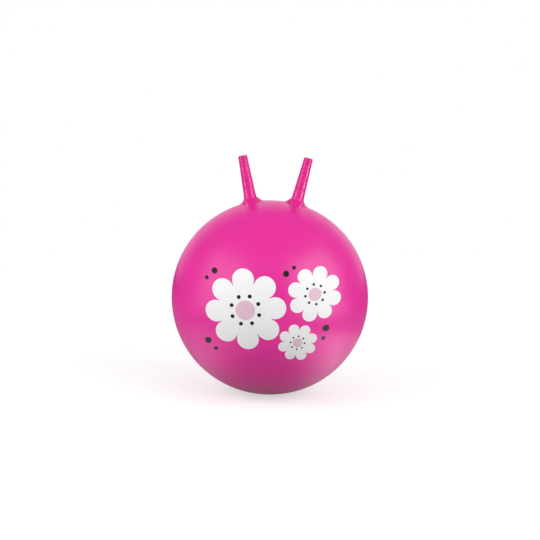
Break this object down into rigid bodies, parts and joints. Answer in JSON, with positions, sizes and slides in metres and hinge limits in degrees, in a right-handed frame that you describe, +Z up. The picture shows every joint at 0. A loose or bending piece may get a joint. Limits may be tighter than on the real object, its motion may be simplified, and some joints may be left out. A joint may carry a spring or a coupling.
{
  "type": "hopper ball",
  "caption": "Inflatable ball for sitting and bouncing on, with ribbed horn handles that bend, a plug valve at the back and a flower print in front.",
  "frame": {"origin": "on the floor, under the middle of the ball", "axes": "+Z up, -Y to the front, where the print is, and +X to the right seen from the front; the horns stand to either side in the XZ plane"},
  "size_m": [0.45, 0.4503, 0.5438],
  "materials": {
    "ball_vinyl": "satin",
    "horn_vinyl": "satin",
    "seat_vinyl": "satin",
    "plug_plastic": "satin",
    "white_ink": "satin",
    "pink_ink": "satin",
    "black_ink": "satin"
  },
  "bodies": {
    "ball": {"ball_skin": "ball_vinyl", "left_horn_root": "horn_vinyl", "right_horn_root": "horn_vinyl", "valve_seat": "seat_vinyl", "white_print": "white_ink", "pink_print": "pink_ink", "black_print": "black_ink"},
    "left_neck": {"left_horn_neck": "horn_vinyl"},
    "left_horn": {"left_horn_grip": "horn_vinyl"},
    "right_neck": {"right_horn_neck": "horn_vinyl"},
    "right_horn": {"right_horn_grip": "horn_vinyl"},
    "plug": {"valve_plug": "plug_plastic"}
  },
  "joints": [
    {"name": "left_horn_sway", "type": "hinge", "parent": "ball", "child": "left_neck", "pos_m": [-0.05627, 0, 0.45889], "axis": [0, -1, 0], "range_deg": [-15, 15], "stiffness_Nm_per_rad": 6, "deforming": ["left_horn_neck"]},
    {"name": "left_horn_pull", "type": "hinge", "parent": "left_neck", "child": "left_horn", "pos_m": [-0.06159, 0, 0.48268], "axis": [-0.9759, 0, -0.2181], "range_deg": [-20, 25], "stiffness_Nm_per_rad": 4, "deforming": ["left_horn_neck"]},
    {"name": "right_horn_sway", "type": "hinge", "parent": "ball", "child": "right_neck", "pos_m": [0.05627, 0, 0.45889], "axis": [0, 1, 0], "range_deg": [-15, 15], "stiffness_Nm_per_rad": 6, "deforming": ["right_horn_neck"]},
    {"name": "right_horn_pull", "type": "hinge", "parent": "right_neck", "child": "right_horn", "pos_m": [0.06159, 0, 0.48268], "axis": [-0.9759, 0, 0.2181], "range_deg": [-20, 25], "stiffness_Nm_per_rad": 4, "deforming": ["right_horn_neck"]},
    {"name": "valve_plug_pull", "type": "slide", "parent": "ball", "child": "plug", "axis": [0, 0.9659, 0.2588], "range_m": [0, 0.03]}
  ]
}
